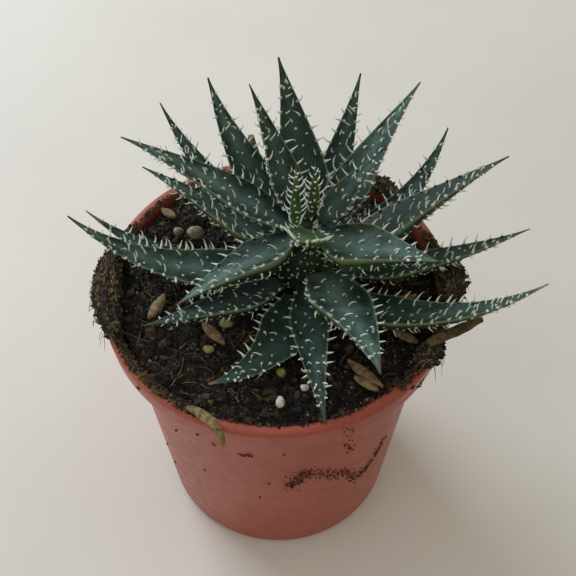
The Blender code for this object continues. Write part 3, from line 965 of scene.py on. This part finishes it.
def clump_place(clump, share, off, lift):
    """A place on a clump: share along its arc, off across it from -1 to 1, lift up its arched section."""
    _, start, end, near, far, height = clump
    angle = math.radians(start + (end - start) * share)
    full = 0.45 + 0.55 * math.sin(math.pi * min(1.0, max(0.0, share)))
    radius = (near + far) / 2 + off * (far - near) / 2 * full
    top = height * math.sqrt(max(0.0, 1 - off * off))
    return Vector((radius * math.cos(angle), radius * math.sin(angle), CLUMP_FLOOR + 0.15 + top * lift))


def add_clumps(materials):
    """Matted roots and peat over the rim: splinters, threads along the rim and loose hairs hanging out."""
    kinds = [materials[name] for name in ("peat", "brown", "dark_fibre", "fibre", "moss")]
    for number, clump in enumerate(CLUMPS):
        rng = random.Random(60 + number)
        shape = Shape()
        name, start, end, near, far, _ = clump
        span = math.radians(abs(end - start)) * (near + far) / 2
        for _ in range(int(span * 85)):
            centre = clump_place(clump, rng.random(), rng.uniform(-0.95, 0.95), rng.random() ** 0.6)
            length = rng.uniform(0.5, 2.0)
            width = length * rng.uniform(0.25, 0.7)
            add_shard(shape, centre, length, width, width * 0.6, rng, rng.choice((0, 0, 0, 0, 1, 1, 4)))
        for _ in range(int(span * 11)):
            share, off = rng.random(), rng.uniform(-0.95, 0.9)
            step, drift = rng.uniform(-0.07, 0.07) * 10 / span, rng.uniform(-0.12, 0.12)
            path = []
            for i in range(7):
                path.append(clump_place(clump, share + step * i, off + drift * i / 2, rng.uniform(0.85, 1.1)))
            add_thread(shape, path, rng.uniform(0.05, 0.13), rng.choice((2, 2, 3)), 4)
        for _ in range(int(span * 1.5)):
            root = clump_place(clump, rng.random(), 0.85, 0.8)
            out = Vector((root.x, root.y, 0.0)).normalized()
            away = (out + out.cross(UP) * rng.uniform(-0.9, 0.9)).normalized()
            reach, fall = rng.uniform(0.5, 1.6), rng.uniform(0.6, 5.0)
            path = [root + away * (reach * (i / 6) ** 0.7) - UP * (fall * (i / 6) ** 1.8) for i in range(7)]
            add_thread(shape, path, rng.uniform(0.03, 0.06), rng.choice((2, 2, 3)), 4)
        add_piece(name + "_mat", shape, kinds, [name], flat=True)


def wall_place(angle, height, lift=0.0):
    """A place on the pot's outer wall, lifted off it by this much."""
    radius = between(WALL, height) + lift
    return Vector((radius * math.cos(math.radians(angle)), radius * math.sin(math.radians(angle)), height))


def add_dirt(materials):
    """Dried soil smeared and speckled on the pot's side, and crumbs along its rim."""
    rng = random.Random(77)
    shape = Shape()
    for trail, width, count in DIRT_TRAILS:
        stretch = [(i / (len(trail) - 1), angle) for i, (angle, _) in enumerate(trail)]
        climb = [(i / (len(trail) - 1), height) for i, (_, height) in enumerate(trail)]
        for _ in range(count):
            at = rng.random()
            angle = between(stretch, at) + rng.gauss(0, 0.9) * width
            height = between(climb, at) + rng.gauss(0, 0.38) * width
            size = 0.12 + 0.6 * rng.random() ** 2.5
            kind = rng.choice((0, 1, 1, 1))
            add_shard(shape, wall_place(angle, height, 0.0), size, size * 0.6, size * 0.3, rng, kind)
    for angle, height, size in DIRT_SPECKS:
        for _ in range(3):
            centre = wall_place(angle + rng.uniform(-0.6, 0.6), height + rng.uniform(-0.3, 0.3), 0.05)
            add_shard(shape, centre, size, size * 0.7, size * 0.5, rng, 1)
    for start, end, count, reach in RIM_DIRT:
        for _ in range(count):
            angle = math.radians(rng.uniform(start, end))
            radius = RIM_INSIDE + (reach - RIM_INSIDE) * rng.random() ** 1.3
            size = 0.2 + rng.random() ** 2
            centre = (radius * math.cos(angle), radius * math.sin(angle), RIM_TOP + rng.uniform(0.0, 0.2))
            add_shard(shape, centre, size, size * 0.5, size * 0.35, rng, rng.choice((0, 0, 1, 1, 2)))
    kinds = [materials[name] for name in ("peat", "crust", "moss")]
    add_piece("pot_dirt", shape, kinds, flat=True)


def add_dry_pieces(materials):
    """The sliver of bark, the withered leaf over the rim and the withered stub behind."""

    def bark(share, angle):
        return 1.0 + 0.14 * noise.noise(Vector((share * 6, math.cos(angle) * 2, math.sin(angle) * 2)))

    def wrinkled(share, angle):
        return 1.0 + 0.10 * math.cos(5 * angle + 4 * share) + 0.12 * noise.noise(Vector((share * 9, angle, 0)))

    chip, leaf, stub = Shape(), Shape(), Shape()
    halves = ((0.0, 0.7), (0.33, 1.0), (0.67, 1.0), (1.0, 0.6))
    strand_rings(chip, smooth_path(WOOD_CHIP, 24), halves, 0.5, 20, bark)
    add_piece("wood_chip_bark", chip, [materials["bark"]], ["wood_chip"])
    halves = ((0.0, 0.3), (0.2, 0.75), (0.4, 0.9), (0.6, 0.8), (0.8, 0.55), (1.0, 0.25))
    strand_rings(leaf, smooth_path(DRY_LEAF, 40), halves, 0.3, 24, wrinkled)
    add_piece("dry_leaf_sheet", leaf, [materials["dry"]], ["dry_leaf"])
    halves = ((0.0, 1.0), (0.33, 1.3), (0.67, 1.0), (1.0, 0.5))
    strand_rings(stub, smooth_path(DRY_STUB, 30), halves, 0.6, 24, wrinkled)
    add_piece("dry_stub_sheet", stub, [materials["dry"]], ["dry_stub"])


def make_materials():
    return {
        # the second colour of each skin is its pale wax, which also stands in for painted sheen on the upper face
        "skin": skin_material("leaf_skin", "#182E26", "#6B8982", "#34491F", "#13241A"),
        "young_skin": skin_material("young_leaf_skin", "#3E5A32", "#7E9678", "#4F6B28", "#2B451C"),
        "spine": spine_material("leaf_spine", "#93AC98", "#F0F4E8"),
        "plastic": plastic_material(),
        "peat": rough_material("peat", "#080706", "#231D17", 1.4, 0.2),
        "wet": rough_material("wet_peat", "#0C0C0E", "#3A3E44", 1.0, 0.1, 0.4),
        "brown": rough_material("brown_splinters", "#2B1D13", "#6A5139", 1.0, 0.12),
        "mineral": rough_material("mineral_grains", "#77766A", "#BDBAAB", 0.8, 0.06),
        "crust": rough_material("dried_soil", "#2E1A13", "#6B4331", 0.8, 0.08),
        "moss": rough_material("moss", "#262C12", "#666B30", 0.8, 0.1),
        "dark_fibre": rough_material("dark_root_fibre", "#1D140D", "#57442F", 2.0, 0.03),
        "fibre": rough_material("root_fibre", "#4A3A28", "#9A8562", 2.0, 0.03),
        "husk": rough_material("rice_husk", "#5E452F", "#A38962", 1.2, 0.05, 0.7),
        "pebble": rough_material("pebble", "#635E52", "#A29C8B", 1.0, 0.05),
        "perlite": rough_material("perlite", "#B9B7AC", "#F0EEE6", 0.6, 0.08),
        "grain": rough_material("fertiliser_grain", "#6E6A35", "#B4AE68", 1.0, 0.05, 0.6),
        "bark": rough_material("bark_sliver", "#33281A", "#6E5A38", 1.4, 0.1),
        "dry": rough_material("withered_leaf", "#4B3A24", "#A08A58", 1.0, 0.06, 0.75),
    }


def add_floor():
    half = FLOOR_SIZE / 2 * MM
    mesh = bpy.data.meshes.new("floor")
    mesh.from_pydata([(-half, -half, 0), (half, -half, 0), (half, half, 0), (-half, half, 0)], [], [(0, 1, 2, 3)])
    material, tree, shader = new_material("floor")
    colour = mix(tree, spread(tree, grain(tree, 60.0, 4.0), 0.3, 0.7), "#E0DDD5", "#E7E4DC")
    tree.links.new(colour, shader.inputs["Base Color"])
    shader.inputs["Roughness"].default_value = 0.6
    mesh.materials.append(material)
    floor = bpy.data.objects.new("floor", mesh)
    bpy.context.scene.collection.objects.link(floor)


def add_light(name, place, size, watts, colour):
    """A square area light that faces the plant."""
    lamp = bpy.data.lights.new(name, "AREA")
    lamp.size = size * MM
    lamp.energy = watts
    lamp.color = linear(colour)[:3]
    obj = bpy.data.objects.new(name, lamp)
    obj.location = Vector(place) * MM
    aim = Vector((0.0, 0.0, 40.0)) * MM - obj.location
    obj.rotation_euler = aim.to_track_quat("-Z", "Y").to_euler()
    bpy.context.scene.collection.objects.link(obj)


def add_studio():
    scene = bpy.context.scene
    add_light("window", WINDOW_PLACE, WINDOW_SIZE, WINDOW_WATTS, WINDOW_COLOUR)
    add_light("fill", FILL_PLACE, FILL_SIZE, FILL_WATTS, FILL_COLOUR)
    world = bpy.data.worlds.new("room")
    world.use_nodes = True
    background = world.node_tree.nodes["Background"]
    background.inputs["Color"].default_value = linear(SKY_COLOUR)
    background.inputs["Strength"].default_value = SKY_STRENGTH
    scene.world = world
    scene.view_settings.view_transform = "Standard"


def add_camera():
    data = bpy.data.cameras.new("camera")
    data.lens = CAMERA_LENS
    data.sensor_width = SENSOR
    data.clip_start = 0.01
    camera = bpy.data.objects.new("camera", data)
    turn = Matrix.Rotation(-math.radians(CAMERA_YAW), 4, "Z")
    tilt = Matrix.Rotation(math.radians(90 - CAMERA_DOWN), 4, "X")
    roll = Matrix.Rotation(math.radians(CAMERA_ROLL), 4, "Z")
    camera.matrix_world = Matrix.Translation(Vector(CAMERA_PLACE) * MM) @ turn @ tilt @ roll
    bpy.context.scene.collection.objects.link(camera)
    bpy.context.scene.camera = camera


def main():
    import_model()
    add_camera()
    add_studio()
    add_floor()
    materials = make_materials()
    add_pot(materials)
    add_soil(materials)
    add_crumbs(materials)
    add_fibres(materials)
    add_husks(materials)
    add_pebbles(materials)
    add_clumps(materials)
    add_dirt(materials)
    add_dry_pieces(materials)
    add_stem(materials)
    add_leaves(materials)


main()
